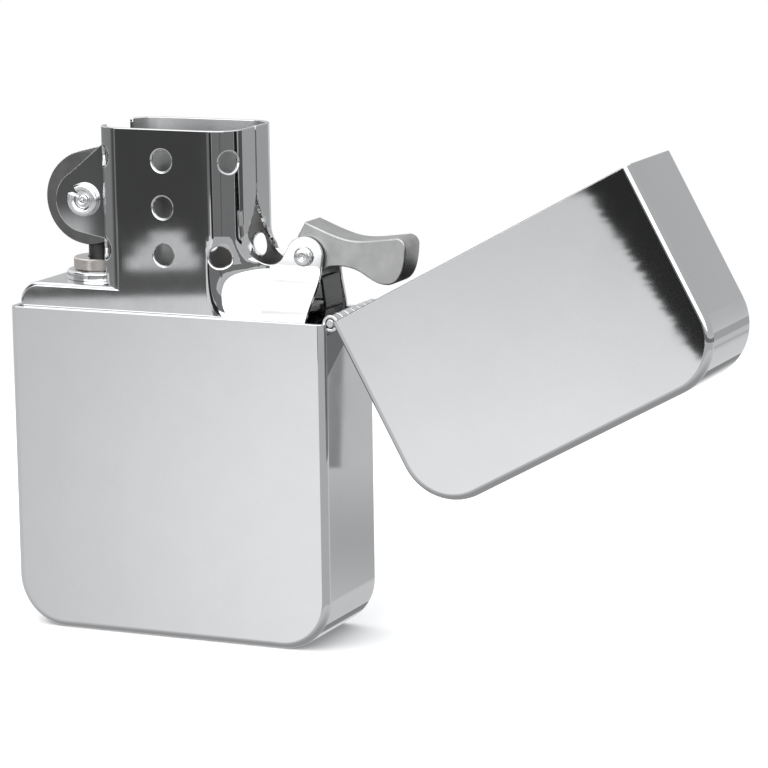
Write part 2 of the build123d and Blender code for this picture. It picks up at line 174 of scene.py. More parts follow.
# ---- Materials, one for each slot of the record ----
def all_materials():
    """One material for each slot of the record, and two for the insides of the cans: rougher, with darker
    tones that are painted shade.
    """
    brass = {"warmth": 0.25, "streak": (1, 1, 4), "draw": 0.001}
    drawn = {"smudge": 0.03, "streak": (1.6, 1.6, 0.08), "draw": 0.00006}
    turned = {"warmth": 0.05, "streak": (0.3, 0.3, 6), "draw": 0.003}
    plated = {                      # brightness, roughness and the rest
        "case_chrome": (0.62, 0.018, {}),
        "hinge_chrome": (0.75, 0.2, {"smudge": 0.04}),
        "pin_steel": (0.62, 0.12, {}),
        "insert_steel": (0.6, 0.022, drawn),
        # insides: their own dull roughness, with a darker base colour as painted shade
        "insert_inside_painted_shade": (0.5, 0.36, {"smudge": 0.04, "draw": 0.002}),
        "case_inside_painted_shade": (0.3, 0.34, {"smudge": 0.03, "draw": 0.002}),
        "rivet_steel": (0.7, 0.16, {"draw": 0.001}),
        "tube_steel": (0.5, 0.2, {}),
        "flange_nickel": (0.66, 0.12, {"draw": 0.001}),
        "collar_nickel": (0.55, 0.22, turned),
        "spring_steel": (0.1, 0.2, {}),
        "eyelet_brass": (0.5, 0.2, brass),
        "pusher_brass": (0.5, 0.22, brass),
        "screw_brass": (0.5, 0.25, brass),
    }
    satin = {                       # brightness, roughness, grain size and depth of the relief
        "cam_steel": (0.41, 0.34, 0.12, 0.004),
        "wheel_steel": (0.11, 0.42, 0.16, 0.03),
        "flint_alloy": (0.06, 0.5, 0.1, 0.02),
    }
    fibres = {                      # two colours and the size of a strand
        "wick_cotton": ((0.55, 0.5, 0.42, 1), (0.8, 0.76, 0.68, 1), 0.25),
        "felt": ((0.4, 0.4, 0.4, 1), (0.62, 0.62, 0.6, 1), 0.2),
        "cotton": ((0.78, 0.78, 0.76, 1), (0.9, 0.9, 0.89, 1), 0.35),
    }
    made = {name: plated_metal(name, level, rough, **more) for name, (level, rough, more) in plated.items()}
    made.update((name, satin_metal(name, *values)) for name, values in satin.items())
    made.update((name, fibre(name, *values)) for name, values in fibres.items())
    return made


looks = all_materials()
for node in frame["nodes"].values():
    for cad_slot in node.material_slots:
        cad_slot.material = looks[cad_slot.material.name.split(".")[0]]


# ---- Mesh helpers ----
def smooth_step(value, low, high):
    part = min(max((value - low) / (high - low), 0.0), 1.0)
    return part * part * (3 - 2 * part)


def steps(low, high, count):
    return [low + (high - low) * step / count for step in range(count + 1)]


def unit(degrees):
    """Cosine and sine of an angle."""
    turn = math.radians(degrees)
    return math.cos(turn), math.sin(turn)


def rounded_edge(front, back, out, outward, reach, lip, count):
    """Row of (point, normal) pairs round a cut edge, from the sheet's outer skin to its inner one."""
    row = []
    for a, b in map(unit, steps(0, 90, count)):
        row.append((front + outward * reach * b - out * lip * (1 - a), out * a + outward * b))
    for a, b in map(unit, steps(90, 0, count)):
        row.append((back + outward * reach * b + out * lip * (1 - a), outward * b - out * a))
    return row


class Skin:
    """Collects faces whose corners carry their own exact normals, in millimetres."""

    def __init__(self):
        self.points, self.normals, self.faces, self.slots = [], [], [], []

    def corner(self, point, normal):
        self.points.append(Vector(point))
        self.normals.append(Vector(normal).normalized())
        return len(self.points) - 1

    def face(self, corners, slot=0):
        """Adds a face without its coincident corners, turned the way its normals look."""
        pairs = zip(corners, corners[-1:] + corners[:-1])
        corners = [c for c, before in pairs if (self.points[c] - self.points[before]).length > 1e-6]
        if len(corners) < 3:
            return
        a, b, c = (self.points[corners[k]] for k in (0, len(corners) // 3, 2 * len(corners) // 3))
        if (b - a).cross(c - a).dot(self.normals[corners[0]]) < 0:
            corners = corners[::-1]
        self.faces.append(tuple(corners))
        self.slots.append(slot)

    def strip(self, rows, slot=0, closed=False, skip=lambda row, column: False):
        """Quads between rows of (point, normal) pairs; closed joins the last row to the first."""
        kept = [[self.corner(*pair) for pair in row] for row in rows]
        if closed:
            kept.append(kept[0])
        for i in range(len(kept) - 1):
            for j in range(len(kept[i]) - 1):
                if not skip(i, j):
                    quad = [kept[i][j], kept[i][j + 1], kept[i + 1][j + 1], kept[i + 1][j]]
                    self.face(quad, slot)

    def flat(self, points, normal, slot=0):
        self.face([self.corner(point, normal) for point in points], slot)

    def turned(self, matrix):
        """Moves everything by a matrix that turns and shifts."""
        turn = matrix.to_3x3()
        self.points = [matrix @ point for point in self.points]
        self.normals = [turn @ normal for normal in self.normals]

    def mirrored(self):
        """Adds the same faces mirrored to the other side of the XZ plane."""
        count = len(self.points)
        flip = Vector((1, -1, 1))
        self.points += [point * flip for point in self.points]
        self.normals += [normal * flip for normal in self.normals]
        self.faces += [tuple(count + corner for corner in face[::-1]) for face in self.faces]
        self.slots += self.slots

    def piece(self, name, body, node, *materials):
        """Makes the object, riding on its body and standing for its CAD node."""
        mesh = bpy.data.meshes.new(name)
        mesh.from_pydata([point * MM for point in self.points], [], self.faces)
        for material in materials:
            mesh.materials.append(looks[material])
        mesh.polygons.foreach_set("material_index", self.slots)
        mesh.shade_smooth()
        mesh.normals_split_custom_set_from_vertices(self.normals)
        made = bpy.data.objects.new(name, mesh)
        bpy.context.scene.collection.objects.link(made)
        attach(made, body)
        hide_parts(node)
        return made


def lathe(skin, profile, centre, sides):
    """Turns a profile of (radius, y, normal radius part, normal y part) round a Y axis."""
    rows = []
    for step in range(sides):
        across, up = unit(360 * step / sides)
        row = []
        for radius, y, out, along in profile:
            point = (centre[0] + radius * across, centre[1] + y, centre[2] + radius * up)
            row.append((point, (out * across, along, out * up)))
        rows.append(row)
    skin.strip(rows, closed=True)


def rounded_profile(points, radius, segments=3):
    """Profile for lathe with its corners rounded; points are (radius, y) from the axis out and back."""
    profile = []
    for index, point in enumerate(points):
        here = Vector(point)
        if index in (0, len(points) - 1):
            other = Vector(points[1] if index == 0 else points[-2])
            along = (other - here) if index == 0 else (here - other)
            side = Vector((along.y, -along.x)).normalized()
            profile.append((here.x, here.y, side.x, side.y))
            continue
        before = (Vector(points[index - 1]) - here).normalized()
        after = (Vector(points[index + 1]) - here).normalized()
        side_in = Vector((-before.y, before.x))
        side_out = Vector((after.y, -after.x))
        for step in range(segments + 1):
            share = step / segments
            side = (side_in * (1 - share) + side_out * share).normalized()
            place = here + before * radius * (1 - share) ** 2 + after * radius * share ** 2
            profile.append((place.x, place.y, side.x, side.y))
    return profile


# ---- Sizes read from the frame, in millimetres ----
def box_mm(node):
    low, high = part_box(node)
    return low / MM, high / MM


joint = {entry["name"]: entry for entry in frame["joints"]}
case_low, case_high = box_mm("case_shell")
insert_low, insert_high = box_mm("insert_shell")
pin_low, pin_high = box_mm("hinge_pin")
wheel_high = box_mm("spark_wheel")[1]
HALF_W = (case_high.x - case_low.x) / 2
HALF_D = case_high.y
CASE_H = case_high.z
LID_H = 22.8
WALL = 0.6
HINGE = Vector(((pin_low.x + pin_high.x) / 2, 0, (pin_low.z + pin_high.z) / 2))
LID_OPEN = -joint["lid_hinge"]["range_deg"][0]
RIM_GAP = 0.1
LIP = 0.1                     # rounding of a cut sheet edge
NOTCH_DEPTH = 1.1             # of the hinge's notch in case and lid
CASE_CORNER_R = 5.6
LID_CORNER_R = 6.0
CAN_EDGE_R = 0.8
CORNER_STEPS = 14             # faces round a can's corner
EDGE_STEPS = 8                # faces across its long edge
SHEET = 0.45                  # thickness of the insert's sheet


# ---- Case and lid ----
def can_path(half_w, top, corner_r, bottom):
    """Outline of a can from its left rim down and round to its right rim: (point, outward)."""
    path = [((-half_w, top), (-1, 0))]
    for side, start in ((-1, 180), (1, 270)):
        for out in map(unit, steps(start, start + 90, CORNER_STEPS)):
            x = side * (half_w - corner_r) + corner_r * out[0]
            path.append(((x, bottom + corner_r + corner_r * out[1]), out))
    path.append(((half_w, top - NOTCH_DEPTH), (1, 0)))
    path.append(((half_w, top), (1, 0)))
    return path


def can_profile(half_d, edge_r):
    """Across the can from its front face to its back: (depth below the side, y, out part, y part)."""
    profile = []
    for along, across in map(unit, steps(0, 90, EDGE_STEPS)):
        profile.append((edge_r * (1 - across), -half_d + edge_r * (1 - along), across, -along))
    return profile + [(depth, -y, out, -along) for depth, y, out, along in profile[::-1]]


def can_rows(path, profile, sign, inset=0.0):
    """Skin of a can, row by row round its path; sign is 1 outside and -1 inside."""
    rows = []
    for (x, z), (out_x, out_z) in path:
        row = []
        for depth, y, out, along in profile:
            point = (x - (depth + inset) * out_x, y, z - (depth + inset) * out_z)
            row.append((point, (sign * out * out_x, sign * along, sign * out * out_z)))
        rows.append(row)
    return rows


def drawn_can(height, corner_r):
    """Drawn can standing on its closed end, with a rounded rim and the hinge's notch."""
    skin = Skin()
    rims, notches = [], []
    for inset, sign, edge_r in ((0.0, 1, CAN_EDGE_R), (WALL, -1, CAN_EDGE_R / 3)):
        profile = can_profile(HALF_D - inset, edge_r)
        rows = can_rows(can_path(HALF_W - inset, height - LIP, corner_r - inset, inset), profile, sign)
        columns = len(profile)
        notch = columns // 2 - 1
        material = 0 if sign > 0 else 1
        skin.strip(rows, material, skip=lambda i, j: i == len(rows) - 2 and j == notch)
        for column, y_side in ((0, -1), (columns - 1, 1)):
            skin.flat([row[column][0] for row in rows], (0, y_side * sign, 0), material)
        rims.append([(Vector(point), Vector(normal) * sign) for point, normal in rows[0] + rows[-1][::-1]])
        notches.append([rows[i][j][0] for i in (-2, -1) for j in (notch, notch + 1)])
    rim(skin, *rims)
    outer, inner = notches
    low_left, low_right, high_left, high_right = range(4)
    for a, b, normal in ((low_left, low_right, (0, 0, 1)), (low_left, high_left, (0, 1, 0)),
                         (low_right, high_right, (0, -1, 0))):
        skin.flat([outer[a], outer[b], inner[b], inner[a]], normal)
    return skin


def rim(skin, outer, inner):
    """Rounded edge that joins the outer and inner skins along the can's mouth."""
    rows = []
    count = len(outer)
    for index in range(count + 1):
        (out_point, out_normal), (in_point, _) = outer[index % count], inner[index % count]
        level = Vector((out_normal.x, out_normal.y, 0)).normalized()
        rows.append(rounded_edge(out_point, in_point, level, Vector((0, 0, 1)), LIP, LIP, 3))
    half = count // 2
    notch = half + half // 2 - 1
    skin.strip(rows, skip=lambda i, j: i == notch)


def lid_opened():
    """Matrix that swings the lid from shut to open round the hinge pin."""
    about = Matrix.Translation(HINGE)
    return about @ Matrix.Rotation(math.radians(LID_OPEN), 4, "Y") @ about.inverted()


def case_and_lid():
    case = drawn_can(CASE_H, CASE_CORNER_R)
    case.piece("case_body", "case", "case_shell", "case_chrome", "case_inside_painted_shade")
    lid = drawn_can(LID_H, LID_CORNER_R)
    upside_down = Matrix.Diagonal((1, 1, -1, 1))
    shut = Matrix.Translation((0, 0, CASE_H + RIM_GAP + LID_H)) @ upside_down
    lid.turned(lid_opened() @ shut)
    lid.faces = [face[::-1] for face in lid.faces]
    lid.piece("lid_body", "lid", "lid_shell", "case_chrome", "case_inside_painted_shade")


# ---- Formed sheet ----
def circle(across, up, radius, count=36):
    """Closed loop of (across, up, rounded) with all its edges rounded."""
    turns = [2 * math.pi * step / count for step in range(count)]
    return [(across + radius * math.cos(turn), up + radius * math.sin(turn), True) for turn in turns]


def arc(across, up, radius, start, end, count=16):
    """Part of a circle, in degrees, as points of a rounded edge."""
    return [(across + radius * a, up + radius * b, True) for a, b in map(unit, steps(start, end, count))]


def pulled_in(loop, lip, hole):
    """Where the rounded edges of a loop begin on the flat of the sheet."""
    count = len(loop)
    area = sum(loop[i - 1][0] * loop[i][1] - loop[i][0] * loop[i - 1][1] for i in range(count))
    side = (1 if area > 0 else -1) * (-1 if hole else 1)
    result = []
    for i in range(count):
        before, here, after = (Vector(loop[k % count][:2]) for k in (i - 1, i, i + 1))
        edge_in, edge_out = (here - before).normalized(), (after - here).normalized()
        n_in = Vector((edge_in.y, -edge_in.x)) * side
        n_out = Vector((edge_out.y, -edge_out.x)) * side
        d_in = lip if loop[i - 1][2] else 0.0
        d_out = lip if loop[i][2] else 0.0
        cross = n_in.x * n_out.y - n_in.y * n_out.x
        if abs(cross) < 0.05:
            moved = here - (n_in + n_out).normalized() * (d_in + d_out) / 2
        else:
            shift = Vector((d_out * n_in.y - d_in * n_out.y, d_in * n_out.x - d_out * n_in.x))
            moved = here + shift / cross
        result.append(moved)
    return result


def divided(loop, longest):
    """The same loop with points added on its long edges, so that they bend with the sheet."""
    result = []
    for i, (across, up, rounded) in enumerate(loop):
        following = loop[(i + 1) % len(loop)]
        run, rise = following[0] - across, following[1] - up
        parts = max(1, math.ceil(math.hypot(run, rise) / longest))
        for part in range(parts):
            share = part / parts
            result.append((across + run * share, up + rise * share, rounded))
    return result


def inside(point, loop):
    """True where a point of the flat pattern lies inside a closed loop."""
    found = False
    for i in range(len(loop)):
        a, b = loop[i - 1], loop[i]
        if (a[1] > point[1]) != (b[1] > point[1]):
            if point[0] < a[0] + (point[1] - a[1]) * (b[0] - a[0]) / (b[1] - a[1]):
                found = not found
    return found


def formed_sheet(skin, place, outline, holes=(), thick=SHEET, spacing=0.45, lip=LIP, hole_lip=LIP,
                 materials=(0, 0)):
    """Cuts a flat pattern with holes out of sheet and bends it.

    place turns a point (across, up) of the pattern into its point on the outer face. A loop is a
    list of (across, up, rounded), where rounded says whether the edge to the next point is seen.
    """
    def bent(across, up):
        small = 0.01
        here = Vector(place(across, up))
        slope_across = Vector(place(across + small, up)) - Vector(place(across - small, up))
        slope_up = Vector(place(across, up + small)) - Vector(place(across, up - small))
        return here, slope_across.cross(slope_up).normalized()

    outline = divided(outline, spacing)
    loops = [(outline, pulled_in(outline, lip, False))]
    loops += [(loop, pulled_in(loop, hole_lip, True)) for loop in holes]
    flat_points, edges = [], []
    for _, skin_loop in loops:
        first = len(flat_points)
        flat_points += skin_loop
        count = len(skin_loop)
        edges += [(first + k, first + (k + 1) % count) for k in range(count)]
    outer_loop, *hole_loops = [skin_loop for _, skin_loop in loops]
    low = [min(point[axis] for point in outer_loop) for axis in (0, 1)]
    high = [max(point[axis] for point in outer_loop) for axis in (0, 1)]
    near = [Vector(point) for point in flat_points]
    for i in range(1, int((high[0] - low[0]) / spacing) + 1):
        for j in range(1, int((high[1] - low[1]) / spacing) + 1):
            point = Vector((low[0] + i * spacing, low[1] + j * spacing))
            if inside(point, outer_loop) and not any(inside(point, hole) for hole in hole_loops):
                if min((point - other).length_squared for other in near) > (0.35 * spacing) ** 2:
                    flat_points.append(point)
    points, _, triangles, *_ = delaunay_2d_cdt(flat_points, edges, [], 0, 1e-6)
    kept = []
    for triangle in triangles:
        middle = sum((points[k] for k in triangle), Vector((0, 0))) / 3
        if inside(middle, outer_loop) and not any(inside(middle, hole) for hole in hole_loops):
            kept.append(triangle)
    placed = [bent(*point) for point in points]
    for side, material in zip((1, -1), materials):
        corners = [skin.corner(here if side > 0 else here - out * thick, out * side) for here, out in placed]
        for triangle in kept:
            skin.face([corners[k] for k in triangle], material)
    for (loop, skin_loop), round_lip in zip(loops, [lip] + [hole_lip] * len(holes)):
        edge_rows = []
        for (across, up, _), flat in zip(loop, skin_loop):
            here, out = bent(*flat)
            tip = Vector(place(across, up))
            outward = tip - here
            outward -= out * outward.dot(out)
            reach = outward.length
            outward = outward.normalized() if reach > 1e-6 else Vector((0, 0, 0))
            edge_rows.append(rounded_edge(here, here - out * thick, out, outward, reach, round_lip, 4))
        for i, row in enumerate(edge_rows):
            following = edge_rows[(i + 1) % len(edge_rows)]
            if loop[i][2]:
                skin.strip([row, following])
            else:
                wall = [row[0][0], following[0][0], following[-1][0], row[-1][0]]
                skin.flat(wall, (wall[1] - wall[0]).cross(row[0][1]))


# ---- Insert ----
INSERT_HALF_D = insert_high.y
DECK_Z = 38.05
TANK_TOP = 34.6               # the drawn-in sheet on the cam side starts here
JOIN_X = 4.4                  # where it starts across the front
FOLD_R = 0.45
SHOULDER_R = 2.2
CHIMNEY = (-8.4, 8.25)        # left and right
CHIMNEY_R = 2.8
CHIMNEY_TOP = insert_high.z
VENT_R = 1.15
TANK_CORNER_R = 4.4
TANK_FOOT = 1.3
CAM_PIVOT = (14.9, 41.9)
CAM_EAR_R = 2.1
EAR_DRAW = 2.72               # how far the sheet is drawn in at the cam's ears
WHEEL_AXIS = (-10.75, 47.0)
WHEEL_EAR_Y = 3.5
WHEEL_EAR_R = 3.45
SLIT = 0.07                   # half the gap between the chimney's two halves
FLAT_LEFT = CHIMNEY[0] + CHIMNEY_R - JOIN_X      # pattern position where the left corner starts
FLAT_RIGHT = CHIMNEY[1] - CHIMNEY_R - JOIN_X     # and the right corner
CORNER = CHIMNEY_R * math.pi / 2                 # length of a corner in the flat pattern


def chimney_plan(across):
    """Point of the chimney's plan at a pattern position, counted from JOIN_X."""
    if FLAT_LEFT <= across < FLAT_RIGHT:
        return JOIN_X + across, -INSERT_HALF_D
    if across >= FLAT_RIGHT + CORNER:
        return CHIMNEY[1], -INSERT_HALF_D + CHIMNEY_R + across - FLAT_RIGHT - CORNER
    side, end = (-1, FLAT_LEFT) if across < FLAT_LEFT else (1, FLAT_RIGHT)
    turn = side * (across - end) / CHIMNEY_R
    return JOIN_X + end + side * CHIMNEY_R * math.sin(turn), -INSERT_HALF_D + CHIMNEY_R * (1 - math.cos(turn))


def front_sheet(across, up):
    """Front of the insert: chimney above, drawn-in ear sheet below, with a smooth change between."""
    x_top, y_top = chimney_plan(across)
    x_low = JOIN_X + across
    drawn = smooth_step(x_low, 4.9, 11.0) * smooth_step(up, TANK_TOP, 40.6)
    lean = 0.05 * max(up - 38.0, 0.0) * smooth_step(x_low, 8.0, 12.0)
    y_low = -INSERT_HALF_D + EAR_DRAW * drawn + lean
    held_low = smooth_step(across, 6.2, 7.6) * (1 - smooth_step(up, 44.2, 45.2))
    share = smooth_step(up, 41.0, 44.0) * (1 - held_low) if across >= 0 else 1.0
    return (x_low + (x_top - x_low) * share, y_low + (y_top - y_low) * share, up)


def smooth_line(points, parts=4):
    """Points of a smooth line that passes through the given ones."""
    ends = [points[0], *points, points[-1]]
    result = []
    for a, b, c, d in zip(ends, ends[1:], ends[2:], ends[3:]):
        for part in range(parts):
            t = part / parts
            result.append(tuple(
                b[k] + 0.5 * t * (c[k] - a[k]) + t * t * (a[k] - 2.5 * b[k] + 2 * c[k] - 0.5 * d[k])
                + t ** 3 * (1.5 * (b[k] - c[k]) + 0.5 * (d[k] - a[k])) for k in (0, 1)))
    return result + [points[-1]]


def insert_outline():
    """Flat pattern of the front sheet, anticlockwise from its lower left."""
    wall = FLAT_RIGHT + CORNER + (INSERT_HALF_D - CHIMNEY_R)      # pattern position of y = 0
    slot_turn = math.acos(1 - (INSERT_HALF_D - WHEEL_EAR_Y + SHEET) / CHIMNEY_R)
    slot = FLAT_LEFT - CHIMNEY_R * slot_turn
    notch_x, notch_z, notch_r = 10.9 - JOIN_X, 42.6, 1.75
    ear_x, ear_z = CAM_PIVOT[0] - JOIN_X, CAM_PIVOT[1]
    loop = [(slot, DECK_Z - FOLD_R, False), (0, DECK_Z - FOLD_R, False), (0, TANK_TOP, False)]
    loop += [(16.05 - JOIN_X, TANK_TOP, True), (16.55 - JOIN_X, 38.1, True)]
    loop += arc(ear_x, ear_z, CAM_EAR_R, 0, 160, 22)
    loop += arc(notch_x, notch_z, notch_r, -18, -158, 16)
    drop = ((-2.44, 42.9), (-2.4, 43.6), (-2.1, 44.4), (-1.5, 45.2), (-0.9, 46.0), (-0.45, 46.9),
            (-0.15, 47.8))
    loop += [(wall + y, z, True) for y, z in smooth_line(drop)]
    loop += [(wall - SLIT, 48.8, True), (wall - SLIT, CHIMNEY_TOP, True), (slot, CHIMNEY_TOP, True)]
    return loop


def vents():
    """Loops of the chimney's holes in the flat pattern."""
    places = [(-0.2 - JOIN_X, z) for z in (41.75, 46.8, 51.8)]
    places += [(6.3 - JOIN_X, 41.75), (FLAT_RIGHT + CORNER / 2, 51.8)]
    places += [(FLAT_LEFT - CORNER / 2, z) for z in (42.0, 52.0)]
    return [circle(across, up, VENT_R) for across, up in places]


def folded_block(skin, path, open_row):
    """Outer and inner skins of the insert's sheet folded along a path, with flat front and back.

    One row of faces is left out between the folded edges, where the block is open.
    """
    columns = 2 * (EDGE_STEPS + 1)

    def opening(i, j):
        return i == open_row and EDGE_STEPS <= j < columns - 1 - EDGE_STEPS

    for inset, sign, fold_r in ((0.0, 1, FOLD_R), (SHEET, -1, FOLD_R * 0.3)):
        rows = can_rows(path, can_profile(INSERT_HALF_D - inset, fold_r), sign, inset)
        skin.strip(rows, skip=opening)
        for column, y_side in ((0, -1), (-1, 1)):
            closing = [row[column][0] for row in rows]
            if path[0][0][1] > TANK_TOP + 1:
                closing.append((path[0][0][0], closing[0][1], TANK_TOP))
            skin.flat(closing, (0, y_side * sign, 0))


def insert_body():
    """Insert can: tank, shelf, chimney and both pairs of ears."""
    skin = Skin()
    formed_sheet(skin, front_sheet, insert_outline(), vents(), hole_lip=0.2, materials=(0, 1))
    ear = arc(WHEEL_AXIS[0], WHEEL_AXIS[1] - 0.2, WHEEL_EAR_R, 118, 262, 30)
    root_x, root_low, root_high = CHIMNEY[0] + 0.3, 42.8, 53.3
    ear += [(root_x, root_low, False), (root_x, root_high, True)]
    formed_sheet(skin, lambda x, z: (x, -WHEEL_EAR_Y, z), ear, spacing=2.0)
    skin.mirrored()
    left, right = insert_low.x, insert_high.x
    tank = can_path((right - left) / 2, TANK_TOP, TANK_CORNER_R, TANK_FOOT)
    tank = [((x + (left + right) / 2, z), out) for (x, z), out in tank]
    folded_block(skin, tank, open_row=CORNER_STEPS + 1)
    shelf = [((JOIN_X, DECK_Z), (0, 1)), ((CHIMNEY[0] + SHEET, DECK_Z), (0, 1))]
    for out in map(unit, steps(90, 180, 12)):
        shelf.append(((left + SHOULDER_R * (1 + out[0]), DECK_Z - SHOULDER_R * (1 - out[1])), out))
    shelf.append(((left, TANK_TOP), (-1, 0)))
    folded_block(skin, shelf, open_row=0)
    skin.piece("insert_body", "insert", "insert_shell", "insert_steel", "insert_inside_painted_shade")


# ---- Small parts on the insert ----
def bent_grid(skin, place, across, up, closed=False, centre=None):
    """Smooth surface through place(a, b), with normals along a x b or, at a pole, from the centre."""
    def normal(a, b):
        small = 1e-3
        slope_a = Vector(place(a + small, b)) - Vector(place(a - small, b))
        slope_b = Vector(place(a, b + small)) - Vector(place(a, b - small))
        out = slope_a.cross(slope_b)
        if out.length < 1e-9:
            out = Vector(place(a, b)) - Vector(centre)
        return out.normalized()

    skin.strip([[(place(a, b), normal(a, b)) for b in up] for a in across], closed=closed)


def spark_wheel():
    """Wheel with finely filed slanting teeth and recessed sides."""
    radius, half = wheel_high.z - WHEEL_AXIS[1], wheel_high.y
    teeth, depth, slant, steep = 88, 0.11, 3.0, 0.75
    bevel, bevel_width, recess, bore = 0.16, 0.35, 0.35, 0.95
    centre = (WHEEL_AXIS[0], 0, WHEEL_AXIS[1])

    def tread(turn, y):
        edge = smooth_step(abs(y), half - bevel_width, half)
        phase = teeth * turn / (2 * math.pi) + slant * y / half
        phase -= math.floor(phase)
        cut = phase / steep if phase < steep else (1 - phase) / (1 - steep)
        scored = 0.03 * math.sin(9 * turn + 14 * y)
        r = radius - bevel * edge - (depth * cut + scored + 0.03) * (1 - edge)
        return (centre[0] + r * math.cos(turn), y, centre[2] + r * math.sin(turn))

    skin = Skin()
    bent_grid(skin, lambda a, b: tread(-a, b), steps(0, 2 * math.pi, teeth * 6), steps(-half, half, 16))
    side_line = [(bore, -half), (2.15, -half), (2.3, recess - half), (3.2, recess - half), (3.35, -half),
                 (radius - bevel, -half)]
    for side in (1, -1):
        lathe(skin, [(r, side * y, out, side * along)
                     for r, y, out, along in rounded_profile(side_line, 0.06)], centre, 96)
    lathe(skin, [(bore, -half, -1, 0), (bore, half, -1, 0)], centre, 40)
    skin.piece("spark_wheel_body", "spark_wheel", "spark_wheel", "wheel_steel")


def rolled_strip(skin, radius, half_width, low, high, start, end, count):
    """Domed strip rolled on edge round the wheel's axis; radius is a function of the turn."""
    section = [(1, 0, 1, 0), (1, 0.7, 1, 0.2), (0.8, 0.93, 0.6, 0.8), (0.3, 1, 0.1, 1)]
    section += [(-side, height, -out, along) for side, height, out, along in section[::-1]]
    rows = []
    for turn in steps(math.radians(start), math.radians(end), count):
        across, up = math.cos(turn), math.sin(turn)
        row = []
        for side, height, out, along in section:
            r = radius(turn) + side * half_width
            point = (WHEEL_AXIS[0] + r * across, -(low + (high - low) * height), WHEEL_AXIS[1] + r * up)
            row.append((point, (out * across, -along, out * up)))
        rows.append(row)
    skin.strip(rows)
    for row, way in ((rows[0], 1), (rows[-1], -1)):
        across, up = row[0][1][0], row[0][1][2]
        skin.flat([point for point, _ in row], (up * way, 0, -across * way))


def wheel_rivet():
    """Rivet rolled from strip: its ends show as a spiral with a step in the outer turn."""
    skin = Skin()
    low, high = WHEEL_EAR_Y + 0.03, WHEEL_EAR_Y + 0.56
    shank, head, eye = 0.88, 1.0, 0.2
    start, end = 150, 570          # degrees of the inner turn of the spiral

    def spiral(turn):
        return 0.62 - 0.36 * (turn - math.radians(start)) / math.radians(end - start)

    rolled_strip(skin, lambda turn: 1.37, 0.44, low, high, 158, 484, 64)
    rolled_strip(skin, spiral, 0.24, low, high - 0.06, start, end, 60)
    profile = [(0, -low - 0.42), (0.16, -low - 0.4), (eye, -low - 0.1), (head, -low - 0.08), (head, -low),
               (shank, -low), (shank, 0)]
    lathe(skin, rounded_profile(profile, 0.04), (WHEEL_AXIS[0], 0, WHEEL_AXIS[1]), 40)
    skin.mirrored()
    skin.piece("wheel_rivet_body", "insert", "wheel_rivet", "rivet_steel")


def cam_rivet():
    """Solid rivet with domed, dimpled heads."""
    skin = Skin()
    profile = [(0, -2.98), (0.3, -3.04), (0.48, -3.25), (0.86, -3.2), (1.05, -3.0), (1.05, -2.78),
               (0.7, -2.78), (0.7, 0)]
    lathe(skin, rounded_profile(profile, 0.07, 4), (CAM_PIVOT[0], 0, CAM_PIVOT[1]), 48)
    skin.mirrored()
    skin.piece("cam_rivet_body", "insert", "cam_rivet", "rivet_steel")


def flint_spring():
    """Open coil between the flint screw and the pusher."""
    foot, top, pitch, radius, wire, travel = 8.0, 34.5, 1.7, 0.88, 0.17, 3.0
    skin = Skin()
    axis = Vector((WHEEL_AXIS[0], 0, foot))
    up = Vector((0, 0, 1))
    rows = []
    for turn in steps(0, 2 * math.pi * (top - foot) / pitch, 320):
        out = Vector((math.cos(turn), math.sin(turn), 0))
        centre = axis + out * radius + up * pitch * turn / (2 * math.pi)
        around = [out * a + up * b for a, b in map(unit, steps(0, 360, 8))]
        rows.append([(centre + side * wire, side) for side in around])
    skin.strip(rows)
    for row, facing in ((rows[0], (0, -1, 0)), (rows[-1], (-math.sin(turn), math.cos(turn), 0))):
        skin.flat([point for point, _ in row[:-1]], facing)
    coil = skin.piece("flint_spring_coil", "flint_screw", "flint_spring", "spring_steel")
    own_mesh(coil)


# ---- Hinge ----
KNUCKLES = 7
KNUCKLE_GAP = 0.1
KNUCKLE_R = 0.9
LEAF_T = 0.35
LEAF_X = HALF_W - WALL - 0.05
LEAF_FOOT = HINGE.z - 6.95
BEND_Z = HINGE.z - 1.55       # where the leaf turns out towards the pin
STRAIGHT = BEND_Z - LEAF_FOOT
BEND_LENGTH = 1.2
CURL_START = math.radians(-102)
CURL_TURN = math.radians(318)


def leaf_line(along):
    """Outer face of a hinge leaf: up inside the wall, out through the notch and round the pin."""
    if along < STRAIGHT:
        return Vector((LEAF_X, LEAF_FOOT + along))
    past = (along - STRAIGHT - BEND_LENGTH) / KNUCKLE_R
    turn = CURL_START + max(past, 0.0)
    curl = HINGE.xz + KNUCKLE_R * Vector((math.cos(turn), math.sin(turn)))
    if past >= 0:
        return curl
    t = (along - STRAIGHT) / BEND_LENGTH
    a, b = Vector((LEAF_X, BEND_Z)), Vector((LEAF_X, BEND_Z + 0.65))
    c = curl + 0.3 * Vector((math.sin(CURL_START), -math.cos(CURL_START)))
    return a * (1 - t) ** 3 + b * 3 * t * (1 - t) ** 2 + c * 3 * t * t * (1 - t) + curl * t ** 3


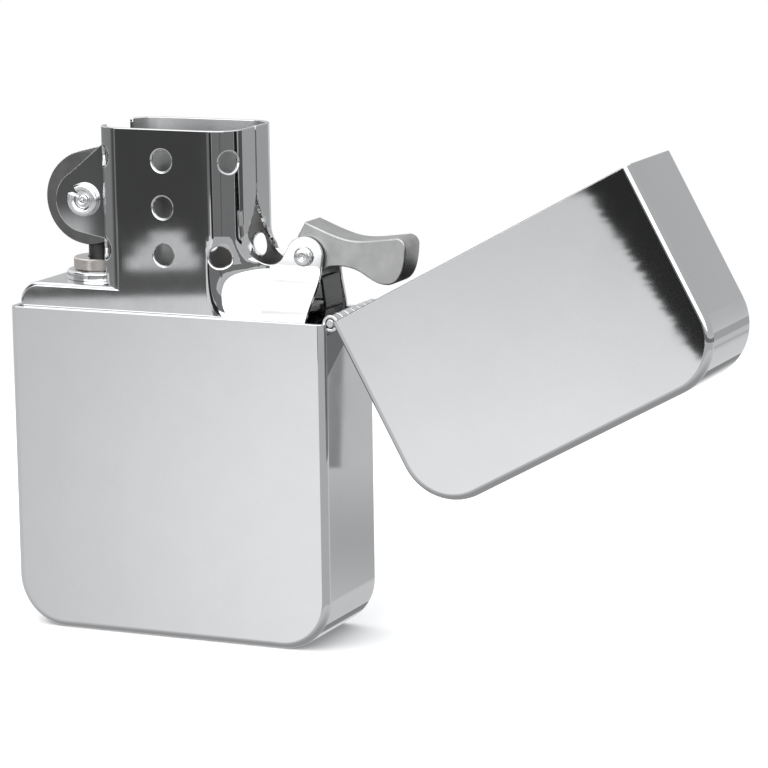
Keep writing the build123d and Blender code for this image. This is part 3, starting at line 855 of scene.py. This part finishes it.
def hinge_leaf(own, mirrored):
    """Leaf cut from sheet, with its own knuckles rolled round the pin."""
    half = pin_high.y - 0.1
    pitch = (2 * half + KNUCKLE_GAP) / KNUCKLES
    root = STRAIGHT + 0.5 * BEND_LENGTH
    tip = STRAIGHT + BEND_LENGTH + KNUCKLE_R * CURL_TURN
    loop = [(-half, 0, True), (half, 0, True)]
    for number in sorted(own, reverse=True):
        low = -half + number * pitch
        high = low + pitch - KNUCKLE_GAP
        if high < half - 0.01:
            loop.append((high, root, True))
        loop += [(high, tip, True), (low, tip, True)]
        if low > -half + 0.01:
            loop.append((low, root, True))
    if KNUCKLES - 1 not in own:
        loop.insert(2, (half, root, True))
        loop.append((-half, root, True))
    skin = Skin()

    def place(across, along):
        x, z = leaf_line(along)
        return (x, -across, 2 * HINGE.z - z) if mirrored else (x, across, z)

    formed_sheet(skin, place, loop, thick=LEAF_T, spacing=0.25, lip=0.09)
    return skin


def hinge():
    case_leaf = hinge_leaf(range(0, KNUCKLES, 2), False)
    case_leaf.piece("case_leaf", "case", "case_hinge_leaf", "hinge_chrome")
    lid_leaf = hinge_leaf(range(1, KNUCKLES, 2), True)
    lid_leaf.turned(lid_opened())
    lid_leaf.piece("lid_leaf", "lid", "lid_hinge_leaf", "hinge_chrome")


# ---- Wick, wadding and felt ----
WICK_ROUTE = ((0.8, 47.4), (0.8, 42.0), (0.8, 36.0), (0.8, 31.5), (11.5, 27.5), (-4.5, 20.5),
              (11.5, 13.5), (-2.0, 7.6))
WICK_R = 1.22
WICK_END = 0.35               # length of its rounded ends
WICK_SIDES = 48
WICK_STRANDS = 4
WICK_TWIST = 2.6              # radians of braid to a millimetre
WICK_FRAY = 1.2               # length of the frayed tip
TUFT_SQUARENESS = 0.32        # 1 is an ellipsoid and 0 a box
TUFT_SIDES = 72
TUFT_DENT = 1.6               # deepest hollow
FELT_FUZZ = 0.07


def wick_line():
    """Points along the wick's smooth line."""
    curve = bpy.data.curves.new("wick_route", "CURVE")
    curve.dimensions = "3D"
    curve.resolution_u = 24
    spline = curve.splines.new("NURBS")
    spline.points.add(len(WICK_ROUTE) - 1)
    for point, (x, z) in zip(spline.points, WICK_ROUTE):
        point.co = (x, 0, z, 1)
    spline.order_u = 3
    spline.use_endpoint_u = True
    holder = bpy.data.objects.new("wick_route", curve)
    mesh = bpy.data.meshes.new_from_object(holder)
    line = [vertex.co.copy() for vertex in mesh.vertices]
    bpy.data.objects.remove(holder)
    bpy.data.curves.remove(curve)
    bpy.data.meshes.remove(mesh)
    return line


def wick():
    """Braided wick with a frayed tip."""
    line = wick_line()
    lengths = [0.0]
    for before, after in zip(line, line[1:]):
        lengths.append(lengths[-1] + (after - before).length)
    total = lengths[-1]

    def spot(along):
        index = 1
        while index < len(line) - 1 and lengths[index] < along:
            index += 1
        share = (along - lengths[index - 1]) / (lengths[index] - lengths[index - 1])
        return line[index - 1].lerp(line[index], share), (line[index] - line[index - 1]).normalized()

    def place(along, turn):
        here, ahead = spot(min(max(along, 0.0), total))
        across = Vector((0, 1, 0))
        other = ahead.cross(across)
        laid, twisted = WICK_STRANDS * turn, WICK_TWIST * along
        braid = math.cos(laid + twisted) * math.cos(laid - twisted)
        fray = 1 - smooth_step(along, 0.0, WICK_FRAY)
        radius = WICK_R * (0.94 + 0.06 * braid) * (1 - 0.12 * fray * (1 + math.sin(7 * turn)))
        for from_end in (along, total - along):
            radius *= math.sqrt(max(0.0, 1 - max(0.0, 1 - from_end / WICK_END) ** 2))
        return here + (across * math.cos(turn) + other * math.sin(turn)) * radius

    skin = Skin()
    tip = [0.0, 0.02, 0.08, 0.2]
    rows = tip + steps(WICK_END, total - WICK_END, 420) + [total - along for along in tip[::-1]]
    grid = [[place(along, turn) for turn in steps(0, 2 * math.pi, WICK_SIDES)] for along in rows]
    pairs = []
    for i, row in enumerate(grid):
        middle, ahead = spot(rows[i])
        around = []
        for j, point in enumerate(row):
            slope_a = grid[min(i + 1, len(grid) - 1)][j] - grid[max(i - 1, 0)][j]
            slope_b = row[(j + 1) % WICK_SIDES] - row[(j - 1) % WICK_SIDES]
            out = slope_b.cross(slope_a)
            if out.length <= 1e-7:
                out = ahead if i else -ahead
            if 0 < i < len(grid) - 1 and out.dot(point - middle) < 0:
                out = -out
            around.append((point, out))
        pairs.append(around)
    skin.strip(pairs)
    skin.piece("wick_braid", "insert", "wick", "wick_cotton")


def tuft(number):
    """Loose lump of wadding inside the box of its CAD solid."""
    low, high = box_mm(f"cotton_tuft_{number}")
    middle, half = (low + high) / 2, (high - low) / 2

    def rounded(value):
        return math.copysign(abs(value) ** TUFT_SQUARENESS, value)

    def place(turn, lift):
        level = rounded(math.cos(lift))
        out = (rounded(math.cos(turn)) * level, rounded(math.sin(turn)) * level, rounded(math.sin(lift)))
        point = Vector(out[axis] * half[axis] for axis in range(3))
        seed = middle + point
        sunk = 0.5 * (1 + noise.fractal(seed * 0.35, 1.0, 2.0, 5)) + 0.18 * (1 + noise.noise(seed * 2.2))
        return middle + point * (1 - min(max(sunk, 0.0), TUFT_DENT) / half.length)

    skin = Skin()
    turns = [-math.pi + 2 * math.pi * (step + 0.5) / TUFT_SIDES for step in range(TUFT_SIDES)]
    lifts = steps(-math.pi / 2, math.pi / 2, 29)
    bent_grid(skin, place, turns, lifts, closed=True, centre=middle)
    made = skin.piece(f"wadding_{number}", "insert", f"cotton_tuft_{number}", "cotton")


def felt_pad():
    """Punched felt with soft edges and a fuzzy surface."""
    low, high = box_mm("felt_pad")
    corner_r = 1.0
    corners = []
    for x, y, start in ((high.x, high.y, 0), (low.x, high.y, 90), (low.x, low.y, 180), (high.x, low.y, 270)):
        x -= math.copysign(corner_r, x)
        y -= math.copysign(corner_r, y)
        corners += arc(x, y, corner_r, start, start + 90, 6)
    screw_hole, lifting_hole = circle(WHEEL_AXIS[0], 0, 2.75), circle(12.0, 0, 0.95, 20)
    skin = Skin()
    formed_sheet(skin, lambda x, y: (x, y, high.z), corners, (screw_hole, lifting_hole), high.z - low.z,
                 spacing=0.6, lip=0.35, hole_lip=0.3)
    for k, (point, normal) in enumerate(zip(skin.points, skin.normals)):
        skin.points[k] = point - normal * FELT_FUZZ * (1 + noise.noise(point * 1.7))
        skin.normals[k] = (normal + 0.35 * noise.noise_vector(point * 3.1)).normalized()
    made = skin.piece("felt", "insert", "felt_pad", "felt")


# ---- Stage: floor, light and camera ----
FLOOR_FADE = (0.10, 0.20)     # the floor is whole inside the first radius and gone at the second


def pale_floor():
    """Round pale floor that fades out into the white surroundings."""
    centre = ((cad_box[0] + cad_box[1]) / 2).xy
    corners = [(across, up, 0) for across, up, _ in circle(centre.x, centre.y, FLOOR_FADE[1], 64)]
    mesh = bpy.data.meshes.new("floor")
    mesh.from_pydata(corners, [], [tuple(range(len(corners)))])
    floor = bpy.data.objects.new("floor", mesh)
    bpy.context.scene.collection.objects.link(floor)
    floor.location.z = -0.02 * MM
    material, nodes, shader, place = new_material("floor_paper")
    shader.inputs["Roughness"].default_value = 0.9
    fleck = nodes.noise(place, 0.5, 3.0)
    nodes.put(shader.inputs["Base Color"], nodes.mix(fleck, grey(0.9), grey(0.93)))
    middle = nodes.add("ShaderNodeVectorMath", {0: place, 1: (centre.x / MM, centre.y / MM, 0)},
                       operation="SUBTRACT").outputs[0]
    away = nodes.add("ShaderNodeVectorMath", {0: middle}, operation="LENGTH").outputs["Value"]
    whole, gone = FLOOR_FADE[0] / MM, 0.98 * FLOOR_FADE[1] / MM
    nodes.put(shader.inputs["Alpha"], nodes.span(away, whole, gone, 1, 0, True))
    mesh.materials.append(material)
    floor.visible_glossy = False


# The studio as polished faces see it, painted in this order: azimuth from -Y towards +X and
# elevation in degrees, half sizes, softness of the edges and brightness. The last two, where they
# are given, are the lean of the left and right edges and how far fine streaks break them up.
PATCHES = (
    ("overhead softbox", 0, 64, 180, 26, 30, 7, 1.8),
    ("left softbox", -110, 22, 30, 18, 12, 8, 1.15),
    ("flag at the left", -62, 25, 22, 14, 4, 4, 0.07),
    ("front softbox", 6, 25.5, 38, 22.5, 2, 0.6, 2.8),
    ("low softbox", -26, 8, 8, 11.5, 0.8, 0.5, 2.8),
    ("floor to the left", -23.9, -15, 3.5, 6, 3.5, 6, 1.18),
    ("floor under the lid", -19.7, -8.5, 5.0, 5.0, 0.1, 0.8, 0.87),
    ("floor glow", -20.5, -12.8, 6.0, 2.9, 6.0, 2.9, 1.25),
    ("floor to the right", 50, -14, 65, 4.6, 1, 1, 0.62),
    ("floor behind", 155, -11, 12, 4.5, 3, 1.5, 0.71),
    ("seam of the floor behind", 155, -13.3, 12, 0.7, 3, 0.7, 0.56),
    ("dark card behind", 155.3, -11.07, 0.13, 1.07, 0.02, 0.03, 0.33, 0.045, 0),
    ("wall to the left", -90, -6.6, 55, 2.6, 12, 0.15, 0.32),
    ("dark end of the wall to the left", -42, -6.6, 9, 2.6, 9, 0.15, 0.1),
    ("wall in front", 47, -6.6, 60, 2.6, 1.0, 0.15, 0.24),
    ("upper part of the wall in front", -8, -0.6, 10, 3.8, 0.6, 0.4, 0.26),
    ("dark edge of the wall", 124, -6.6, 14, 2.6, 4, 0.2, 0.12),
    ("wall behind", 152, -6.6, 12, 2.6, 3, 0.2, 0.5),
    ("wall far behind", 158, 13.5, 4, 3, 5, 4, 0.46),
    ("grey flag", -28.9, -6.6, 3.0, 2.6, 0.15, 0.06, 0.13),
    ("light under the grey flag", -29.3, -8.5, 0.6, 0.55, 0.15, 0.25, 0.72),
    ("dark flag", -27.1, -6.6, 1.32, 2.66, 0.1, 0.03, 0.075),
    ("grey edge of the flag", -26.1, -6.6, 0.45, 2.3, 0.3, 0.2, 0.2),
    ("wall beside the flag", -24.3, -7.2, 1.5, 1.15, 0.3, 0.1, 0.24),
    ("wall above the lid", -22.0, -6.6, 1.3, 1.1, 0.3, 0.1, 0.22, -0.5, 0),
    ("gap under the flag", -27.5, -8.73, 0.6, 0.12, 0.1, 0.04, 0.8),
    ("middle of the gap", -27.47, -8.58, 0.46, 0.16, 0.1, 0.04, 0.8),
    ("top of the gap", -27.42, -8.42, 0.28, 0.2, 0.1, 0.04, 0.8),
    ("foot of the flag", -27.4, -9.05, 1.7, 0.2, 0.3, 0.05, 0.13),
    ("dark line", -29.6, -9.16, 1.3, 0.09, 0.1, 0.03, 0.12),
    ("flag beside the camera", -17.5, -6.95, 3.45, 3.45, 0.05, 0.05, 0.035, -0.66, 0.16),
    ("camera", 23.87, -6, 2.0, 3.2, 2.0, 0.6, 0.15),
    ("shade under the lid", -176, -26, 9, 7, 2, 2, 0.3),
)


def studio_light():
    """White surroundings for the camera; softboxes and dark flags for reflections."""
    world = bpy.data.worlds.new("studio")
    bpy.context.scene.world = world
    world.use_nodes = True
    nodes = Nodes(world.node_tree)
    direction = nodes.add("ShaderNodeTexCoord").outputs["Generated"]
    parts = nodes.add("ShaderNodeSeparateXYZ", {0: direction})
    x, y, z = (parts.outputs[axis] for axis in "XYZ")
    to_degrees = 180 / math.pi
    azimuth = nodes.math("MULTIPLY", nodes.math("ARCTAN2", x, nodes.math("MULTIPLY", y, -1)), to_degrees)
    elevation = nodes.math("MULTIPLY", nodes.math("ARCSINE", z), to_degrees)
    spread = nodes.add("ShaderNodeCombineXYZ", {0: azimuth, 1: elevation}).outputs[0]
    streaks = nodes.span(nodes.noise(nodes.stretched(spread, (1.2, 16, 1)), 1.0, 4.0, 0.7), 0.25, 0.75, -1, 1)
    light = nodes.span(elevation, -12, 6, 0.8, 0.66, True)
    light = nodes.math("MULTIPLY", light, nodes.span(elevation, -60, -16, 0.55, 1, True))
    for _, az, el, half_az, half_el, soft_az, soft_el, value, *edges in PATCHES:
        lean, ragged = edges or (0, 0)
        across = nodes.math("SUBTRACT", azimuth, az)
        up = nodes.math("SUBTRACT", elevation, el)
        if lean:
            across = nodes.math("SUBTRACT", across, nodes.math("MULTIPLY", up, lean))
        if ragged:
            across = nodes.math("ADD", across, nodes.math("MULTIPLY", streaks, ragged))
        masks = []
        for off, half, soft in ((across, half_az, soft_az), (up, half_el, soft_el)):
            off = nodes.math("ABSOLUTE", off)
            masks.append(nodes.span(off, half + soft, half - soft, 0, 1, True))
        mask = nodes.math("MULTIPLY", *masks)
        step = nodes.math("MULTIPLY", nodes.math("SUBTRACT", value, light), mask)
        light = nodes.math("ADD", light, step)
    lit = nodes.add("ShaderNodeBackground", {"Color": (0.985, 0.99, 1, 1), "Strength": light})
    white = nodes.add("ShaderNodeBackground", {"Color": (1, 1, 1, 1), "Strength": 1.0})
    seen = nodes.add("ShaderNodeLightPath").outputs["Is Camera Ray"]
    both = nodes.add("ShaderNodeMixShader", {0: seen, 1: lit.outputs[0], 2: white.outputs[0]})
    nodes.put(nodes.add("ShaderNodeOutputWorld").inputs["Surface"], both.outputs[0])


def soft_key():
    """Large soft lamp from the front for the floor and the soft shadow under the object."""
    lamp = bpy.data.lights.new("key", "AREA")
    lamp.shape = "DISK"
    lamp.size = 0.5
    lamp.energy = 1.4
    key = bpy.data.objects.new("key", lamp)
    bpy.context.scene.collection.objects.link(key)
    key.location = (-0.15, -0.45, 0.6)
    key.rotation_euler = (Vector((0.02, 0, 0.02)) - key.location).to_track_quat("-Z", "Y").to_euler()
    key.visible_glossy = False


def camera():
    """Long lens a little to the right of the front and above it."""
    azimuth, elevation, roll = map(math.radians, (23.87, 10.78, -0.82))
    target = Vector((22.71, 0, 28.27)) * MM
    distance = 369.68 * MM
    back = Vector((math.sin(azimuth) * math.cos(elevation), -math.cos(azimuth) * math.cos(elevation),
                   math.sin(elevation)))
    lens = bpy.data.cameras.new("camera")
    lens.sensor_width = 36
    lens.lens = 163.95
    lens.clip_start = 0.01
    lens.clip_end = 20
    shot = bpy.data.objects.new("camera", lens)
    bpy.context.scene.collection.objects.link(shot)
    shot.location = target + back * distance
    shot.rotation_euler = (-back).to_track_quat("-Z", "Y").to_matrix().to_euler()
    shot.rotation_euler.rotate_axis("Z", roll)
    bpy.context.scene.camera = shot


bpy.context.scene.view_settings.view_transform = "Standard"
case_and_lid()
insert_body()
spark_wheel()
wheel_rivet()
cam_rivet()
flint_spring()
hinge()
wick()
for number in range(1, 6):
    tuft(number)
felt_pad()
pale_floor()
studio_light()
soft_key()
camera()
